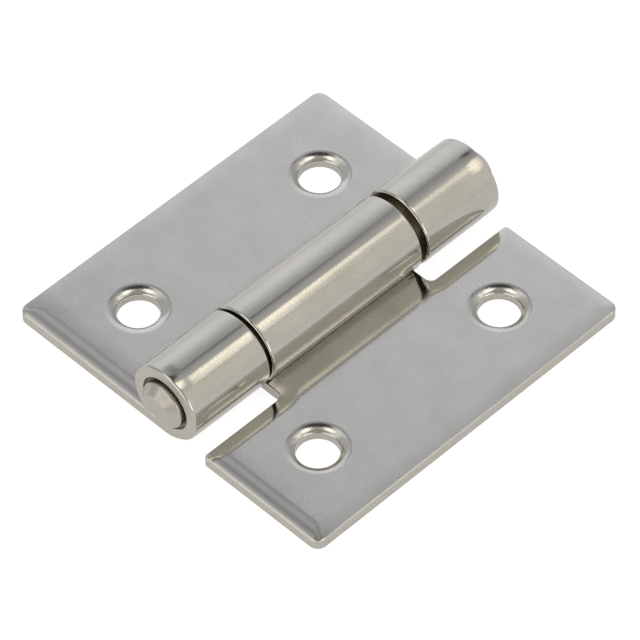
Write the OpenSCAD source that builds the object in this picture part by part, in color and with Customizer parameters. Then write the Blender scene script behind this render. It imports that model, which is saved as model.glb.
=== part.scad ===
// Stamped and rolled stainless butt hinge, open flat, with its barrel standing up.
// The pin's axis runs along Y. The leaf with the two outer knuckles lies on the -X side,
// the leaf with the centre knuckle on the +X side, and both undersides lie on z = 0.
// Each leaf is one sheet: its flat runs under the pin, then up the far side,
// over the top and back down to its own upper face, where a narrow seam is left.

/* [Leaves] */
// Length of each leaf along the pin
leaf_length = 50; // [40:0.5:90]
// Width of each leaf, from the pin's axis to its free edge
leaf_width = 25; // [18:0.5:60]
// Thickness of the sheet
sheet_thickness = 1.6; // [1:0.1:2.5]
// Radius of the leaf's two free corners, seen from above
corner_radius = 1.3; // [0.8:0.1:4]
// Radius at the rim of the upper edges
edge_radius = 0.2; // [0.15:0.05:0.4]
// Width over which stamping has drawn the upper face down towards its edges
rollover_width = 2.4; // [1:0.1:3]
// Depth by which it is drawn down at the edge
rollover_drop = 0.17; // [0.05:0.01:0.3]

/* [Fixing holes] */
// Diameter of each fixing hole
hole_diameter = 5.2; // [3:0.1:6.5]
// Distance between the two holes of a leaf, along the pin
hole_spacing = 30; // [20:0.5:30.5]
// Distance from the pin's axis to the holes
hole_offset = 15; // [12:0.5:20.5]
// Radius round the upper rim of each hole
hole_rim_radius = 0.25; // [0.15:0.05:0.5]
// Width over which punching has drawn the upper face down round each hole
hole_rollover_width = 0.8; // [0.6:0.1:1.5]
// Depth by which it is drawn down at the hole
hole_rollover_drop = 0.12; // [0.05:0.01:0.2]

/* [Knuckles] */
// Length of each of the two outer knuckles
outer_knuckle_length = 12; // [8:0.25:15]
// Gap between the near outer knuckle and the centre knuckle
near_gap = 0.45; // [0.3:0.05:1.2]
// Gap between the centre knuckle and the far outer knuckle
far_gap = 1; // [0.3:0.05:1.5]
// Clearance between the barrel and the edges cut back beside it
cut_back_clearance = 1.35; // [1.2:0.05:3]
// Radius in the inner corners of the cut-backs
cut_back_root_radius = 0.9; // [0.5:0.1:1.2]
// Radius of the plate's corners beside the cut-backs, seen from above
cut_back_corner_radius = 0.5; // [0.2:0.1:1]
// Radius round the barrel's near end
near_end_radius = 0.3; // [0.15:0.05:0.6]
// Length over which rolling has drawn the barrel in at its near end
near_crown_length = 1.5; // [1:0.1:3]
// Depth by which it is drawn in there
near_crown_drop = 0.05; // [0.02:0.01:0.2]
// Radius round the barrel's far end
far_end_radius = 0.2; // [0.15:0.05:0.8]
// Length over which rolling has drawn the barrel in at its far end
far_crown_length = 2.8; // [1:0.1:4]
// Depth by which it is drawn in there
far_crown_drop = 0.06; // [0.02:0.01:0.3]
// Radius on the knuckles' ends that face each other
inner_end_radius = 0.2; // [0.15:0.05:0.4]
// Length over which those ends are drawn in
inner_crown_length = 0.8; // [0.5:0.1:2]
// Depth by which they are drawn in
inner_crown_drop = 0.03; // [0.02:0.01:0.1]
// Radius inside the bore's two mouths
mouth_radius = 0.12; // [0.1:0.02:0.3]
// Slit left between the rolled end of the sheet and the leaf's upper face
seam_gap = 0.12; // [0.08:0.02:0.3]

/* [Pin] */
// Diameter of the pin where the centre knuckle turns on it
pin_diameter = 7; // [5.8:0.1:7.2]
// Running clearance all round between the pin and the centre knuckle
running_clearance = 0.05; // [0.03:0.01:0.1]
// Length by which the pin's near end stands out of the barrel
near_projection = 1.5; // [0.8:0.1:2.5]
// Length by which its far end stands out
far_projection = 1.9; // [0.8:0.1:2.5]
// Diameter of the turned flat on each end of the pin
pin_tip_diameter = 4.2; // [3:0.1:4.2]
// Diameter of the shallow recess turned in each flat
pin_recess_diameter = 2.7; // [1:0.1:2.8]
// Depth of that recess
pin_recess_depth = 0.08; // [0.04:0.02:0.2]
// Angle of the pin's tapered ends, from its axis
pin_taper = 42; // [30:1:55]
// Radius where each taper runs into the neck behind it
pin_shoulder_radius = 0.2; // [0.1:0.05:0.5]
// Gap all round between the pin's necks and the bore
pin_neck_gap = 0.45; // [0.2:0.05:0.6]
// Depth of the necks inside the barrel's ends, or inside the tapers where those start deeper
pin_neck_depth = 1.2; // [0.6:0.1:2]
// Distance inside each outer knuckle at which the pin's pressed end starts
pin_land_inset = 0.5; // [0.2:0.1:1.5]

/* [Hidden] */
$fn = 96;

// Amount by which a cutting shape runs past what it cuts
past = 1;
bore_radius = pin_diameter/2 + running_clearance;
barrel_radius = bore_radius + sheet_thickness;
axis_height = barrel_radius;
half_length = leaf_length/2;
cut_back = barrel_radius + cut_back_clearance;
centre_knuckle_length = leaf_length - 2*outer_knuckle_length - near_gap - far_gap;
centre_leaf_shift = (near_gap - far_gap)/2;
// Direction of the sheet's rolled end, below the horizontal, seen from the axis
seam_angle = asin((axis_height - sheet_thickness - seam_gap)/barrel_radius);
seam_edge = barrel_radius*cos(seam_angle);
// The roll runs from straight below the axis, up the far side and over, down to the seam
roll_turn = 270 + seam_angle;

journal_radius = pin_diameter/2;
tip_radius = pin_tip_diameter/2;
recess_radius = pin_recess_diameter/2;
neck_radius = bore_radius - pin_neck_gap;
// Radius at which the shoulder's arc meets the taper
taper_radius = neck_radius - pin_shoulder_radius*(1 - cos(pin_taper));
land_start = half_length - outer_knuckle_length + pin_land_inset;
// Number of cones that make up the shoulder's arc
SHOULDER_STEPS = 6;
// Number of chords in the wide arc of a drawn edge
DRAWN_STEPS = 5;

// Form of a knuckle's end, as [radius, length drawn in, depth drawn in]
NEAR_END = [near_end_radius, near_crown_length, near_crown_drop];
FAR_END = [far_end_radius, far_crown_length, far_crown_drop];
INNER_END = [inner_end_radius, inner_crown_length, inner_crown_drop];
// Form of the upper edges, as [radius, width drawn down, depth drawn down]
PLATE_EDGE = [edge_radius, rollover_width, rollover_drop];
HOLE_EDGE = [hole_rim_radius, hole_rollover_width, hole_rollover_drop];

// Knuckle spans along a leaf, as [start, end, form of the start, form of the end]
OUTER_KNUCKLES = [
    [-half_length, -half_length + outer_knuckle_length, NEAR_END, INNER_END],
    [half_length - outer_knuckle_length, half_length, INNER_END, FAR_END],
];
CENTRE_KNUCKLES = [
    [-centre_knuckle_length/2, centre_knuckle_length/2, INNER_END, INNER_END],
];

// The stretches of a leaf between and beside its knuckles, as [low, high]
function cut_backs(knuckles) = [
    for (i = [0:len(knuckles)])
        let (low = i == 0 ? -half_length : knuckles[i - 1][1])
        let (high = i == len(knuckles) ? half_length : knuckles[i][0])
        if (high > low) [low, high]
];

// Outline of one half of the pin, from its middle to a tip that stands out by the projection
function pin_outline(projection) =
    let (tip = half_length + projection)
    let (taper_start = tip - (taper_radius - tip_radius)/tan(pin_taper))
    let (shoulder_start = taper_start - pin_shoulder_radius*sin(pin_taper))
    let (neck_start = min(half_length, shoulder_start) - pin_neck_depth)
    concat(
        [[journal_radius, 0], [journal_radius, land_start]],
        [[bore_radius, land_start], [bore_radius, neck_start], [neck_radius, neck_start]],
        [for (i = [0:SHOULDER_STEPS]) let (a = pin_taper*i/SHOULDER_STEPS)
            [neck_radius - pin_shoulder_radius*(1 - cos(a)), shoulder_start + pin_shoulder_radius*sin(a)]],
        [[tip_radius, tip], [recess_radius, tip]],
        [[recess_radius, tip - pin_recess_depth], [0, tip - pin_recess_depth], [0, 0]]
    );

// Profile that rounds a convex edge: the edge is at the origin, its solid lies at +X and -Y
module round_profile(radius) {
    difference() {
        translate([-past, -radius]) square([past + radius, radius + past]);
        translate([radius, -radius]) circle(radius);
    }
}

// The same for an edge whose face is drawn down towards it, given as [radius, width, drop]:
// a wide arc, as a chain of chords, leaves the face and runs into the small arc at the edge
module drawn_profile(form) {
    radius = form[0];
    width = form[1];
    wide_radius = (pow(width, 2) + pow(form[2], 2))/(2*form[2]);
    edge_y = sqrt(pow(wide_radius - radius, 2) - pow(width - radius, 2)) - wide_radius;
    meet_x = width - wide_radius*(width - radius)/(wide_radius - radius);
    chords = [
        for (i = [0:DRAWN_STEPS])
            let (x = meet_x + (width - meet_x)*i/DRAWN_STEPS)
            [x, sqrt(pow(wide_radius, 2) - pow(width - x, 2)) - wide_radius]
    ];
    difference() {
        translate([-past, edge_y]) square([past + width, past - edge_y]);
        translate([radius, edge_y]) circle(radius);
        polygon(concat([[meet_x, edge_y - past]], chords,
            [[width + past, 0], [width + past, edge_y - past]]));
    }
}

// Turns children from an upright axis to the pin's axis, with their top towards +Y
module along_pin() {
    translate([0, 0, axis_height]) rotate([-90, 0, 0]) children();
}

// Places a cutting shape, made for an end that faces +Y, on either end of the barrel
module at_end(y, side) {
    mirror([0, side < 0 ? 1 : 0, 0]) translate([0, side*y, 0]) along_pin() children();
}

// Draws in and rounds the rolled sheet's outer rim at one end
module rim_cut(form) {
    rotate([0, 0, 90]) rotate_extrude(angle = roll_turn)
        translate([barrel_radius, 0]) mirror([1, 0]) drawn_profile(form);
}

// Rounds the mouth of the bore at one end
module mouth_cut(radius) {
    rotate([0, 0, 90]) rotate_extrude(angle = roll_turn)
        translate([bore_radius, 0]) round_profile(radius);
}

// Section of the roll: an open ring of sheet from below the axis round to the seam
module roll_section() {
    difference() {
        circle(barrel_radius);
        circle(bore_radius);
        polygon([[0, 0], [0, -2*barrel_radius], 2*barrel_radius*[cos(seam_angle), -sin(seam_angle)]]);
    }
}

// One knuckle, given as [start, end, form of the start, form of the end]
module knuckle(span) {
    difference() {
        translate([0, span[1], axis_height]) rotate([90, 0, 0])
            linear_extrude(span[1] - span[0]) roll_section();
        at_end(span[0], -1) rim_cut(span[2]);
        at_end(span[1], 1) rim_cut(span[3]);
        at_end(span[0], -1) mouth_cut(min(mouth_radius, span[2][0]));
        at_end(span[1], 1) mouth_cut(min(mouth_radius, span[3][0]));
    }
}

// Draws down the upper edge from point a to point b, with the sheet on the left of that line
module edge_cut(a, b) {
    run = b - a;
    translate([a[0], a[1], sheet_thickness]) rotate([0, 0, atan2(run[1], run[0])])
        rotate([90, 0, 90]) linear_extrude(norm(run)) drawn_profile(PLATE_EDGE);
}

// Keeps the part of a flat shape that a quarter turn about the origin can take
module right_half() {
    intersection() {
        children();
        translate([0, -leaf_width]) square([leaf_width, 2*leaf_width]);
    }
}

// Rounds one of the plate's corners, seen from above, for a corner at the origin of the
// first quadrant, and draws its upper edge down
module corner_cut(radius) {
    translate([0, 0, -past]) linear_extrude(sheet_thickness + 2*past) difference() {
        translate([-past, -past]) square(radius + past);
        translate([radius, radius]) circle(radius);
    }
    translate([radius, radius, sheet_thickness]) rotate([0, 0, 180])
        rotate_extrude(angle = 90) right_half()
        translate([radius, 0]) mirror([1, 0]) drawn_profile(PLATE_EDGE);
}

// Draws down the upper edge of a cut-back's inner corner whose arc is centred on c
module root_cut(c, start) {
    translate([c[0], c[1], sheet_thickness]) rotate([0, 0, start])
        rotate_extrude(angle = 90) right_half()
        translate([cut_back_root_radius, 0]) drawn_profile(PLATE_EDGE);
}

// Fillet in the inner corner of a cut-back, for a corner at the origin of the first quadrant
module root_fillet() {
    linear_extrude(sheet_thickness) difference() {
        square(cut_back_root_radius);
        translate([cut_back_root_radius, cut_back_root_radius]) circle(cut_back_root_radius);
    }
}

// One fixing hole with its upper rim
module fixing_hole() {
    translate([0, 0, -past]) cylinder(d = hole_diameter, h = sheet_thickness + 2*past);
    translate([0, 0, sheet_thickness]) rotate_extrude()
        translate([hole_diameter/2, 0]) drawn_profile(HOLE_EDGE);
}

// The flat of a leaf on the +X side: its plate and the tongues that lead to its knuckles
module flat(knuckles) {
    translate([cut_back, -half_length, 0])
        cube([leaf_width - cut_back, leaf_length, sheet_thickness]);
    for (span = knuckles) {
        translate([0, span[0], 0]) cube([cut_back, span[1] - span[0], sheet_thickness]);
        if (span[0] > -half_length)
            translate([cut_back, span[0], 0]) rotate([0, 0, 180]) root_fillet();
        if (span[1] < half_length)
            translate([cut_back, span[1], 0]) rotate([0, 0, 90]) root_fillet();
    }
}

// Everything that is cut from the flat of a leaf on the +X side
module flat_cuts(knuckles) {
    for (side = [-1, 1]) {
        mirror([0, side < 0 ? 0 : 1, 0])
            translate([leaf_width, -half_length, 0]) rotate([0, 0, 90]) corner_cut(corner_radius);
        translate([hole_offset, side*hole_spacing/2, 0]) fixing_hole();
    }
    edge_cut([leaf_width, -half_length - past], [leaf_width, half_length + past]);
    edge_cut([0, -half_length], [leaf_width + past, -half_length]);
    edge_cut([leaf_width + past, half_length], [0, half_length]);
    for (gap = cut_backs(knuckles)) cut_back_cuts(gap[0], gap[1]);
}

// Everything that is cut round one cut-back, which runs from y = low to y = high
module cut_back_cuts(low, high) {
    root_x = cut_back - cut_back_root_radius;
    low_open = low <= -half_length;
    high_open = high >= half_length;
    edge_cut([cut_back, high_open ? high + past : high - cut_back_root_radius],
        [cut_back, low_open ? low - past : low + cut_back_root_radius]);
    if (low_open) {
        translate([cut_back, low, 0]) corner_cut(cut_back_corner_radius);
    } else {
        root_cut([root_x, low + cut_back_root_radius], -90);
        edge_cut([root_x, low], [0, low]);
    }
    if (high_open) {
        translate([cut_back, high, 0]) rotate([0, 0, -90]) corner_cut(cut_back_corner_radius);
    } else {
        root_cut([root_x, high - cut_back_root_radius], 0);
        edge_cut([0, high], [root_x, high]);
    }
}

// A whole leaf on the +X side, with its knuckles
module leaf(knuckles) {
    difference() {
        flat(knuckles);
        flat_cuts(knuckles);
    }
    for (span = knuckles) knuckle(span);
}

module outer_knuckle_leaf() {
    color([0.73, 0.73, 0.73]) mirror([1, 0, 0]) leaf(OUTER_KNUCKLES);
}

module centre_knuckle_leaf() {
    color([0.70, 0.70, 0.71]) translate([0, centre_leaf_shift, 0]) leaf(CENTRE_KNUCKLES);
}

module hinge_pin() {
    color([0.76, 0.74, 0.70]) along_pin() {
        rotate_extrude() polygon(pin_outline(far_projection));
        mirror([0, 0, 1]) rotate_extrude() polygon(pin_outline(near_projection));
    }
}

outer_knuckle_leaf();
centre_knuckle_leaf();
hinge_pin();
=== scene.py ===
"""Looks for a stamped and rolled butt hinge: two leaves as true sheets, a turned pin, and a white stage."""

import bpy
import numpy as np
from bpy.props import FloatProperty, FloatVectorProperty, PointerProperty
from mathutils import Matrix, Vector
from mathutils.geometry import delaunay_2d_cdt


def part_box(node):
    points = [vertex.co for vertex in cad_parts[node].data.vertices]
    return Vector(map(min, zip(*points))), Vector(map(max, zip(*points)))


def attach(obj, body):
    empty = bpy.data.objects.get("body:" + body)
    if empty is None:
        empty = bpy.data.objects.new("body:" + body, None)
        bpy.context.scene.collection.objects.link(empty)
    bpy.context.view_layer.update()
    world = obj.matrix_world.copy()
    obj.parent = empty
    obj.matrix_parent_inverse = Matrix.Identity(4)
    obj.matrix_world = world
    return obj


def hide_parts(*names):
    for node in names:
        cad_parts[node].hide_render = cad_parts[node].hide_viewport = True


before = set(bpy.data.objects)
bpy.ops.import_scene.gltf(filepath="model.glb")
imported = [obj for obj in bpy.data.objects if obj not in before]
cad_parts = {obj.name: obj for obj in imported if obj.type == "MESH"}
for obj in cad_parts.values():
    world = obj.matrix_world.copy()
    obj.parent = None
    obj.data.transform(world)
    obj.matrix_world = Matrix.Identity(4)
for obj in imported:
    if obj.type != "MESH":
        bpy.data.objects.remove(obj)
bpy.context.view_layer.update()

bl_info = {
    "name": "Butt hinge",
    "version": (1, 0, 0),
    "blender": (4, 5, 0),
    "location": "3D View > Sidebar > Hinge",
    "description": "Builds the rolled leaves and the turned pin of a small butt hinge, with their finish",
    "category": "Object",
}

MM = 0.001
QUARTER = np.pi/2

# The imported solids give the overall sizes: the centre leaf runs from the barrel's far side to its free edge
CENTRE_LOW, CENTRE_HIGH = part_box("centre_knuckle_leaf")
OUTER_LOW, OUTER_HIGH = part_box("outer_knuckle_leaf")
PIN_LOW, PIN_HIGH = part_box("hinge_pin")
HALF_LENGTH = (OUTER_HIGH[1] - OUTER_LOW[1])/2
LEAF_WIDTH = CENTRE_HIGH[0]
BARREL_RADIUS = OUTER_HIGH[0]
AXIS_HEIGHT = BARREL_RADIUS
CENTRE_SHIFT = (CENTRE_LOW[1] + CENTRE_HIGH[1])/2
BORE_RADIUS = PIN_HIGH[0]
THICKNESS = BARREL_RADIUS - BORE_RADIUS
MEAN_RADIUS = (BORE_RADIUS + BARREL_RADIUS)/2
# A sheet's UV map is the plan of its flat blank; one unit of it is 100 mm
PLAN = 10


def length(name, description, default):
    """A property that holds a length in metres."""
    return FloatProperty(name=name, description=description, default=default, min=0, unit="LENGTH",
                         precision=5)


def share(name, description, default):
    """A property that holds a factor."""
    return FloatProperty(name=name, description=description, default=default, min=0, subtype="FACTOR")


def colour(name, description, default):
    """A property that holds a linear colour."""
    return FloatVectorProperty(name=name, description=description, default=default, size=3, min=0,
                               soft_max=1, subtype="COLOR")


class HINGE_PG_sheet(bpy.types.PropertyGroup):
    """Sizes of the two leaves that their solids' boxes don't give."""
    corner_radius: length("Free corner", "Radius of a leaf's free corners, seen from above", 1.3*MM)
    cut_back: length("Cut-back", "Distance from the pin's axis to the cut-back edges", 6.5*MM)
    root_radius: length("Cut-back root", "Radius in the inner corners of the cut-backs", 0.9*MM)
    plate_corner: length("Plate corner", "Radius of the plate's corners beside the cut-backs", 0.5*MM)
    knuckle_length: length("Outer knuckle", "Length of each outer knuckle", 12*MM)
    joint_gaps: length("Joint gaps", "Both gaps beside the centre knuckle, together", 1.45*MM)
    seam_gap: length("Seam", "Slit between the rolled end and the leaf's upper face", 0.08*MM)
    hole_radius: length("Hole radius", "Radius of the fixing holes", 2.6*MM)
    hole_offset: length("Hole offset", "Distance from the pin's axis to the holes", 15*MM)
    hole_spacing: length("Hole spacing", "Distance between the two holes of a leaf", 30*MM)


class HINGE_PG_finish(bpy.types.PropertyGroup):
    """Colours and polish of the metal."""
    sheet: colour("Sheet", "Colour of the polished sheet", (0.49, 0.475, 0.432))
    sheet_roughness: share("Sheet roughness", "Roughness of the polished faces", 0.10)
    cut: colour("Cut edge", "Colour of the blanked edges and ring faces", (0.56, 0.54, 0.495))
    cut_roughness: share("Cut roughness", "Roughness of the blanked edges", 0.5)
    # Painted shade: a dark colour for the ring faces inside the joints, in place of the shade in the gaps
    grease: colour("Painted joint shade", "Colour of the greasy ring faces inside the joints", (0.21, 0.17, 0.12))
    pin: colour("Pin", "Colour of the turned pin", (0.50, 0.48, 0.44))
    pin_roughness: share("Pin roughness", "Roughness of the turned pin", 0.34)
    streak_depth: length("Streak depth", "Depth of the polishing streaks on the barrel", 0.0013*MM)
    flat_streaks: share("Flat streaks", "Share of the streaks' depth that the flats have", 0.9)
    peel_depth: length("Peel depth", "Depth of the fine orange peel", 0.0010*MM)
    wave_depth: length("Wave depth", "Depth of the slow waves that rolling leaves", 0.008*MM)
    apron_depth: length("Apron depth", "Depth of the faint fall of the flats towards the edges", 0.048*MM)


class HINGE_PG_stage(bpy.types.PropertyGroup):
    """The floor and the camera."""
    floor_size: length("Floor size", "Width of the floor", 6.0)
    floor_glow: share("Floor glow", "Light that the white floor gives off by itself", 0.86)
    mirrored_glow: share("Mirrored glow", "The same, as the metal mirrors it", 0.62)
    azimuth: FloatProperty(name="Azimuth", description="Direction of the camera, from -Y towards +X",
                           default=np.radians(45.665), subtype="ANGLE")
    elevation: FloatProperty(name="Elevation", description="Angle of the camera above the floor",
                             default=np.radians(48.754), subtype="ANGLE")
    roll: FloatProperty(name="Roll", description="Turn of the camera about its own axis",
                        default=np.radians(-0.868), subtype="ANGLE")
    distance: length("Distance", "Distance from the camera to its target", 621.2*MM)
    target: FloatVectorProperty(name="Target", description="Point that the camera looks at", size=3,
                                default=(0.453*MM, -0.407*MM, 0), subtype="TRANSLATION")
    lens: FloatProperty(name="Lens", description="Focal length", default=298.34, unit="CAMERA")


# Forms of an edge: the radius at the edge, and the width and depth that are drawn down. They belong to the
# plate's edges, its free edge, all lower edges, the holes, the barrel's rims, and the mouths of the bores
PLATE_EDGE = np.array([0.2, 2.4, 0.17])*MM
FREE_EDGE = np.array([0.2, 2.4, 0.07])*MM
UNDER_EDGE = np.array([0.07, 0.2, 0.004])*MM
HOLE_EDGE = np.array([0.4, 1.4, 0.5])*MM
NEAR_RIM = np.array([0.3, 2.1, 0.075])*MM
FAR_RIM = np.array([0.2, 2.8, 0.06])*MM
INNER_RIM = np.array([0.3, 0.6, 0.012])*MM
MOUTH = np.array([0.12, 0.3, 0.003])*MM

# Rows across an edge's two arcs, and stations along each kind of line
WIDE_ROWS = 10
ROUND_ROWS = 7
ARC_STEPS = 12
EDGE_STEPS = 10
TONGUE_STATIONS = 5
ROLL_STATIONS = 120
SEAM_STATIONS = 5
HOLE_STATIONS = 96
FILLET_STEPS = 6
PIN_STATIONS = 144
# Radius that a drawn edge keeps where it turns a corner
MITRE_RADIUS = 0.45*MM
# Above this upward share a normal is nearly a face's, and its slope shrinks where a corner is mitred
FACE_SHARE = 0.9
# The roll's first part, over which the plate's edge turns into the knuckle's rim
BLEND_ANGLE = np.radians(35)
# Where the flat hands over to the roll's cross-sections
HANDOVER = 3.9*MM
SEAM_RADIUS = 0.1*MM
# The loose grid of points inside the flats: its step, its first s, what it leaves free at the free edge
# and beyond a hole's rim, and where it starts and stops along the pin
GRID_STEP = 2.5*MM
GRID_START = 9.2*MM
GRID_MARGIN = 2.6*MM
GRID_CLEARANCE = 0.6*MM
GRID_SPAN = (-21*MM, 21.5*MM)
# The fill's triangles are those inside the outline, found to this many millimetres
FILL_INSIDE, FILL_TOLERANCE = 1, 1e-7
# Points are welded on a grid of this many steps in a metre
WELD_STEPS = 1e8
# A quad's corners in the order that turns it over and keeps the first one first
TURNED_OVER = [0, 3, 2, 1]


def smooth(x):
    """Smooth step of x from 0 to 1: 3x^2 - 2x^3."""
    x = np.clip(x, 0, 1)
    return x*x*(3 - 2*x)


def unit(v):
    """Vectors of length one along the last axis."""
    return v/np.linalg.norm(v, axis=-1, keepdims=True)


def drawn_rows(form):
    """Rows across an edge, from the face to the wall.

    A wide arc of radius R = (w^2 + h^2)/2h leaves the face w from the edge, and a small arc of
    radius r, tangent to it and to the wall, ends it. Returns the distance in from the wall, the
    fall below the face, and the normal as its outward and upward shares.
    """
    radius, width, drop = (form[..., i, None] for i in range(3))
    wide = (width**2 + drop**2)/(2*drop)
    turn = np.arcsin((width - radius)/(wide - radius))
    a = turn*np.linspace(0, 1, WIDE_ROWS)
    b = turn + (QUARTER - turn)*np.linspace(0, 1, ROUND_ROWS)[1:]
    centre = wide - np.sqrt((wide - radius)**2 - (width - radius)**2)
    inset = np.concatenate([width - wide*np.sin(a), radius - radius*np.sin(b)], axis=-1)
    fall = np.concatenate([wide*(1 - np.cos(a)), centre - radius*np.cos(b)], axis=-1)
    angle = np.concatenate([a, b], axis=-1)
    return inset, fall, np.sin(angle), np.cos(angle)


def edge_rows(top, under):
    """Rows across a whole edge: the upper form down to the wall, and the lower one in under it.

    Returns the distance in from the wall, the height w above the underside, and the normal's
    outward and upward shares.
    """
    inset, fall, out, up = drawn_rows(top)
    low_inset, low_fall, low_out, low_up = (a[..., ::-1] for a in drawn_rows(under))
    pairs = (inset, low_inset), (THICKNESS - fall, low_fall), (out, low_out), (up, -low_up)
    return [np.concatenate(pair, axis=-1) for pair in pairs]


def inset_outline(corners, depth):
    """Stations along an outline of square turns, moved in by a depth, with the sheet on its left.

    A convex corner's radius shrinks with the depth down to the mitre radius, a concave one's grows
    with it. Returns the points, the directions out of the sheet, and the share of a slope that is
    left where the corner's arc no longer runs at its true distance.
    """
    points = np.array([c[:2] for c in corners])
    run = unit(np.diff(points, axis=0))
    inward = np.stack([-run[:, 1], run[:, 0]], axis=1)
    last = points[0] + depth*inward[0]
    stations, outward, gain = [], [], []
    for i in range(1, len(corners) - 1):
        ahead, side = run[i - 1], inward[i - 1]
        turn = np.sign(ahead[0]*run[i][1] - ahead[1]*run[i][0])
        corner = corners[i][2]
        true_radius = corner - turn*depth
        radius = max(true_radius, min(corner, MITRE_RADIUS)) if turn > 0 else true_radius
        centre = points[i] + depth*(side + inward[i]) - radius*ahead + turn*radius*side
        angle = np.linspace(0, QUARTER, ARC_STEPS + 1)[:, None]
        out = turn*ahead*np.sin(angle) - side*np.cos(angle)
        arc = centre + turn*radius*out
        straight = np.linspace(last, arc[0], EDGE_STEPS + 1)[0 if i == 1 else 1:-1]
        stations += [straight, arc]
        outward += [np.broadcast_to(-side, straight.shape), out]
        kept = 1/(np.cos(angle) + np.sin(angle)) if radius > true_radius else np.ones_like(angle)
        gain += [np.ones(len(straight)), kept[:, 0]]
        last = arc[-1]
    straight = np.linspace(last, points[-1] + depth*inward[-1], EDGE_STEPS + 1)[1:]
    stations.append(straight)
    outward.append(np.broadcast_to(-inward[-1], straight.shape))
    gain.append(np.ones(len(straight)))
    return np.concatenate(stations), np.concatenate(outward), np.concatenate(gain)


def grid_faces(rows, columns, closed=False):
    """Corner indices of a grid's quads, with a last strip back to the first column where it is closed."""
    index = np.arange(rows*columns).reshape(rows, columns)
    if closed:
        index = np.concatenate([index, index[:, :1]], axis=1)
    return np.stack([index[:-1, :-1], index[:-1, 1:], index[1:, 1:], index[1:, :-1]], axis=-1)


class Blank:
    """A sheet's surface on its flat blank, gathered as patches of points (s, y, w) with normals.

    s runs along the sheet from below the pin's axis to the free edge and is negative in the roll,
    y runs along the pin, and w is the height above the underside.
    """

    def __init__(self):
        self.points, self.normals, self.faces, self.slots = [], [], [], []
        self.count = 0

    def add(self, points, normals, faces, slots):
        """Adds a patch whose faces are lists of indices into its own points."""
        self.points.append(points.reshape(-1, 3))
        self.normals.append(normals.reshape(-1, 3))
        self.faces += [tuple(i + self.count for i in face) for face in faces]
        self.slots += list(slots)
        self.count += points.size//3

    def add_grid(self, points, normals, row_slots, closed=False, flip=False):
        """Adds a grid of points, one material slot for each strip between two rows."""
        quads = grid_faces(*points.shape[:2], closed)
        if flip:
            quads = quads[..., ::-1]
        slots = np.repeat(row_slots, quads.shape[1])
        self.add(points, normals, quads.reshape(-1, 4).tolist(), slots)

    def mesh(self, name, side, shift):
        """Welds the patches, rolls the blank up and makes the mesh, mirrored where side is -1.

        With the barrel's radius R, for s below 0 the angle from straight below the axis is
        a = -s/(mean radius), the radius is r = R - w, and the point is (-r sin a, y, R - r cos a).
        Elsewhere it is (s, y, w).
        """
        flat = np.concatenate(self.points)
        _, first, welded = np.unique(np.round(flat*WELD_STEPS).astype(np.int64), axis=0,
                                     return_index=True, return_inverse=True)
        welded = welded.ravel()
        flat = flat[first]
        normal = np.concatenate(self.normals)[first]
        s, y, w = flat.T
        a = np.maximum(-s, 0)/MEAN_RADIUS
        radius = BARREL_RADIUS - w
        place = np.stack([np.where(s < 0, -radius*np.sin(a), s), y + shift,
                          np.where(s < 0, BARREL_RADIUS - radius*np.cos(a), w)], axis=1)
        along = normal[:, 0]*np.where(s < 0, MEAN_RADIUS/radius, 1)
        turned = np.stack([along*np.cos(a) + normal[:, 2]*np.sin(a), normal[:, 1],
                           normal[:, 2]*np.cos(a) - along*np.sin(a)], axis=1)
        place[:, 0] *= side
        turned[:, 0] *= side
        faces, slots = [], []
        for face, slot in zip(self.faces, self.slots):
            ring = [int(welded[i]) for i in face]
            ring = [v for i, v in enumerate(ring) if v != ring[i - 1]]
            if len(ring) > 2:
                faces.append(ring if side > 0 else ring[::-1])
                slots.append(int(slot))
        return make_mesh(name, place, unit(turned), faces, slots, flat[:, :2]*[PLAN, PLAN*side])


def make_mesh(name, place, normal, faces, slots, plan=None):
    """Makes an object from points, their exact normals, faces, material slots and plan coordinates."""
    mesh = bpy.data.meshes.new(name)
    mesh.from_pydata(place.tolist(), [], faces)
    mesh.polygons.foreach_set("use_smooth", np.ones(len(mesh.polygons), dtype=bool))
    mesh.polygons.foreach_set("material_index", np.array(slots, dtype=np.int32))
    if plan is not None:
        corner = np.empty(len(mesh.loops), dtype=np.int32)
        mesh.loops.foreach_get("vertex_index", corner)
        layer = mesh.uv_layers.new(name="plan")
        layer.data.foreach_set("uv", plan[corner].astype(np.float32).ravel())
    mesh.validate()
    mesh.normals_split_custom_set_from_vertices(normal.astype(np.float32).tolist())
    piece = bpy.data.objects.new(name, mesh)
    bpy.context.scene.collection.objects.link(piece)
    return piece


def fill_flat(blank, outline, holes, grid, height, up):
    """Fills the flat region inside an outline and outside its round holes with triangles.

    The triangles rest on a loose grid of inner points, and are found in millimetres. One whose
    centre lies nearer to a hole's centre than the sides of the hole's own loop do is left out.
    """
    rings = [outline] + holes
    points = np.concatenate(rings)
    edges, start = [], 0
    for ring in rings:
        n = len(ring)
        edges += [(start + i, start + (i + 1) % n) for i in range(n)]
        start += n
    points = np.concatenate([points, grid])
    result = delaunay_2d_cdt((points/MM).tolist(), edges, [], FILL_INSIDE, FILL_TOLERANCE)
    flat = np.array([tuple(v) for v in result[0]])*MM
    faces = np.array([tuple(face) for face in result[2]])
    middle = flat[faces].mean(axis=1)
    for hole in holes:
        centre = hole.mean(axis=0)
        inner = np.linalg.norm(hole[0] - centre)*np.cos(np.pi/len(hole))
        kept = np.linalg.norm(middle - centre, axis=1) > inner
        faces, middle = faces[kept], middle[kept]
    faces = faces.tolist() if up > 0 else faces[:, ::-1].tolist()
    place = np.column_stack([flat, np.full(len(flat), height)])
    normal = np.tile([0, 0, up], (len(flat), 1)).astype(float)
    blank.add(place, normal, faces, [0]*len(faces))


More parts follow.
